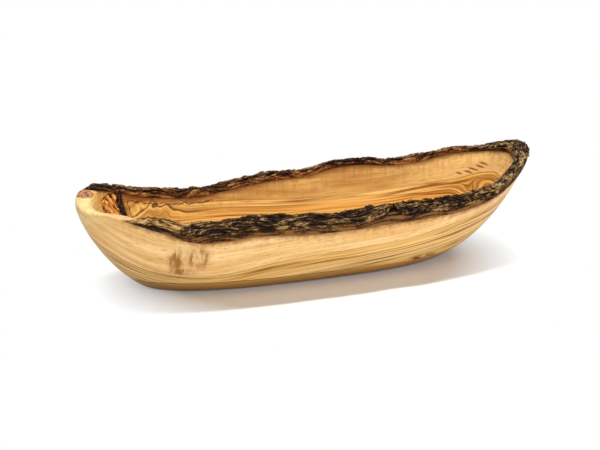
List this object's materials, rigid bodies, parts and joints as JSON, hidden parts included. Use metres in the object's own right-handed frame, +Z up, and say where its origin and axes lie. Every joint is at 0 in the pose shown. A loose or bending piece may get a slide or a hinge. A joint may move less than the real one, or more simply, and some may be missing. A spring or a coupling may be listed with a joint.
{
  "type": "live-edge wooden bowl",
  "caption": "Long boat-shaped bowl carved from half an olive log, hollowed to hold food, with bark left along its waving live edge and a bare rounded nose at the blunt end.",
  "frame": {"origin": "on the table under the middle of the bowl, in the plane of its flat foot", "axes": "+X along the log to the sharp end, +Y across to the back rim, +Z up"},
  "size_m": [0.3587, 0.1236, 0.0807],
  "materials": {
    "olive_wood": "sanded and oiled, satin",
    "knot_wood": "fibrous, oiled",
    "inner_bark": "fibrous, matt",
    "outer_bark": "rough, matt"
  },
  "bodies": {
    "root": {"bowl_body": "olive_wood", "dead_knot": "knot_wood", "ingrown_bark": "inner_bark", "front_inner_bark": "inner_bark", "tip_inner_bark": "inner_bark", "back_inner_bark": "inner_bark", "blunt_inner_bark": "inner_bark", "front_left_bark": "outer_bark", "front_middle_bark": "outer_bark", "front_right_bark": "outer_bark", "tip_bark": "outer_bark", "back_right_bark": "outer_bark", "back_middle_bark": "outer_bark", "back_left_bark": "outer_bark", "blunt_bark": "outer_bark"}
  },
  "joints": []
}
